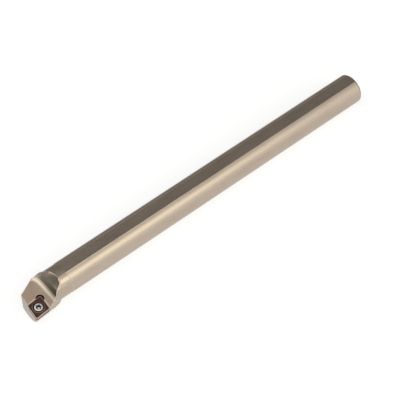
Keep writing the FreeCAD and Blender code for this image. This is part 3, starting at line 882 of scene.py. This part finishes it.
def along(column):
    """Follows one column of the stations from row to row, straight between them."""
    total, at_row = stations[0][column], 0
    for station, following in zip(stations, stations[1:]):
        step = following[column] - station[column]
        if isinstance(step, Value) or step != 0.0:
            stretch = {0: row, 1: float(at_row), 2: float(at_row + station[0]), 3: 0.0, 4: step}
            total = total + maker.node("ShaderNodeMapRange", None, stretch)
        at_row += station[0]
    return total


print("screw grid:", TURN_STEPS, "columns of", row_count, "rows")

# %% [markdown]
# ## Thread, lobes and the finished tree
# The thread is a zigzag of the height less the turn, so that it climbs by one pitch each time
# round. The recess is a cosine with six waves a turn. Both are added to the radius before the grid is
# rolled up. The seam is merged, and the tree ends in real geometry with its material set.

# %% Rolling the grid into a screw
RECESS_LOBES = 6.0
SEAM = 0.001 * MM

angle = turn_share * math.tau
phase = (along(HEIGHT) / size["Thread pitch"] - turn_share).maths("FRACT")
wave = (phase * 2.0 - 1.0).maths("ABSOLUTE")
thread_cut = (1.0 - wave) * along(THREAD) * size["Thread depth"]
lobes = (angle * RECESS_LOBES).maths("COSINE") * along(LOBES) * size["Lobe height"]
radius = along(RADIUS) - thread_cut + lobes
rolled = maker.node("ShaderNodeCombineXYZ", None,
                    {0: radius * angle.maths("COSINE") * MM, 1: radius * angle.maths("SINE") * MM,
                     2: along(HEIGHT) * MM})
tube = maker.node("GeometryNodeSetPosition", None, {"Geometry": grid, "Position": rolled})
closed = maker.node("GeometryNodeMergeByDistance", None, {"Geometry": tube, "Distance": SEAM})
plain = maker.node("GeometryNodeRealizeInstances", None, {"Geometry": closed})
finished = maker.node("GeometryNodeSetMaterial", None,
                      {"Geometry": plain, "Material": Value(tree, given.outputs["Material"])})
tree.links.new(finished.socket, tree.nodes.new("NodeGroupOutput").inputs["Geometry"])
print("screw tree:", len(tree.nodes), "nodes")

# %% [markdown]
# ## Where the screw sits
# Its cone lies just clear of the cone in the insert. The height of its top follows from that gap
# and from how much smaller the head of the construction's screw is than the mouth of the
# countersink. The head made here is a hair smaller still, so that it stays inside that solid.

# %% Place of the screw
SCREW_GAP, SOLID_HEAD_RADIUS = 0.03, 2.65

screw_top = (SCREW_SIZES["Rim height"] + SCREW_GAP / math.sin(HALF_SINK_ANGLE)
             - (SINK - SOLID_HEAD_RADIUS) / math.tan(HALF_SINK_ANGLE))
screw_place = seat @ Matrix.Translation((0.0, 0.0, screw_top * MM))
top = screw_place.translation
axis = (screw_place.to_3x3() @ Vector((0.0, 0.0, 1.0))).normalized()
print("screw's top, mm:", [round(value / MM, 2) for value in top])

# %% [markdown]
# ## Finish of the screw
# The screw is bright steel, left as it was turned, with faint rings on the top of its head. Shade is
# painted nearly black into the recess and along the rim beside the insert. The screw leans, so its
# material can't use Z: it works out the height along the screw's own axis and the distance from that
# axis, in millimetres.

# %% Height and distance on the screw
bright, shader = new_material("screw_steel")
offset = shader.node("ShaderNodeVectorMath", {"operation": "SUBTRACT"},
                     {0: object_coordinates(shader), 1: tuple(top)})
height = shader.node("ShaderNodeVectorMath", {"operation": "DOT_PRODUCT"},
                     {0: offset, 1: tuple(axis)}, "Value")
reach = shader.node("ShaderNodeVectorMath", {"operation": "LENGTH"}, {0: offset}, "Value")
off_axis = (reach * reach - height * height).maths("MAXIMUM", 0.0).maths("SQRT") / MM
height = height / MM
print("screw's axis:", [round(part, 3) for part in axis])

# %% Bright steel
BRIGHT, BRIGHT_GRAIN, SHADE_BLACK = (0.97, 0.96, 0.94), (0.90, 0.89, 0.87), (0.02, 0.017, 0.015)
BELOW_TOP, WITHIN_RECESS, ROUND_THE_MIDDLE = (-0.10, -0.45), (1.80, 1.73), (0.50, 0.80)
NEAR_RIM, BELOW_RIM = (2.36, 2.50), (0.0, -0.16)
RINGS_PER_MM, STEEL_MARKS, SHADE_SHARE = 9.0, (6.0, 6.0, 6.0), 0.93

turned_rings = shader.node("ShaderNodeTexNoise", {"noise_dimensions": "1D"},
                           {"W": off_axis, "Scale": RINGS_PER_MM, "Detail": 2.0})
grain = noise(shader, STEEL_MARKS, 3.0)
# Painted shade in the recess and along the rim beside the insert.
recess_shade = (mask(shader, height, *BELOW_TOP) * mask(shader, off_axis, *WITHIN_RECESS)
               * mask(shader, off_axis, *ROUND_THE_MIDDLE))
rim_shade = mask(shader, off_axis, *NEAR_RIM) * mask(shader, height, *BELOW_RIM)
screw_shade = recess_shade.maths("MAXIMUM", rim_shade)
colour = mix_colours(shader, screw_shade * SHADE_SHARE, mix_colours(shader, grain, BRIGHT, BRIGHT_GRAIN), SHADE_BLACK)
bump = shader.node("ShaderNodeBump", None,
                   {"Strength": 0.5, "Distance": 0.006 * MM, "Height": turned_rings})
shader.finish("ShaderNodeOutputMaterial",
              shader.node("ShaderNodeBsdfPrincipled", None,
                          {"Base Color": colour, "Metallic": 1.0,
                           "Roughness": 0.32 + grain * 0.12 + screw_shade * 0.3, "Normal": bump}))
print("screw steel:", len(bright.node_tree.nodes), "nodes")

# %% [markdown]
# ## Making the screw
# The tree is put on an empty mesh as a modifier. Its inputs are set by the identifiers of their
# sockets, because their names are only labels. The result becomes a plain mesh, which is then
# carried to the seat, so the object itself stays at the origin.

# %% Screw mesh
SCREW_SHARP = math.radians(40)

screw = new_piece("clamp_screw_turned", bpy.data.meshes.new("clamp_screw_turned"))
turning = screw.modifiers.new("turned_screw", "NODES")
turning.node_group = tree
identifiers = {item.name: item.identifier for item in tree.interface.items_tree
               if item.in_out == "INPUT"}
for name, number in SCREW_SIZES.items():
    turning[identifiers[name]] = number
turning[identifiers["Material"]] = bright
screw_mesh = as_mesh(screw)
screw_mesh.transform(screw_place)
screw_mesh.shade_smooth()
screw_mesh.set_sharp_from_angle(angle=SCREW_SHARP)
print("screw:", len(screw_mesh.polygons), "faces")

# %% [markdown]
# ## What each piece stands for
# Each finished piece takes the place of the part of the construction with the same shape and rides
# with the bar's one body. The printed gaps say how far each piece stays inside the box of the part
# it replaces.

# %% Handing over
for piece, node, slot in ((bar, "bar", "plated_steel"), (insert, "insert", "coated_carbide"),
                          (screw, "clamp_screw", "screw_steel")):
    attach(piece, "root")
    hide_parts(node)
    low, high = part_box(node)
    corners = [vert.co for vert in piece.data.vertices]
    lowest = Vector([min(corner[number] for corner in corners) for number in range(3)])
    highest = Vector([max(corner[number] for corner in corners) for number in range(3)])
    gaps = [round(gap / MM, 3) for gap in (*(lowest - low), *(high - highest))]
    print(node, "kept in its box to", gaps, "mm")
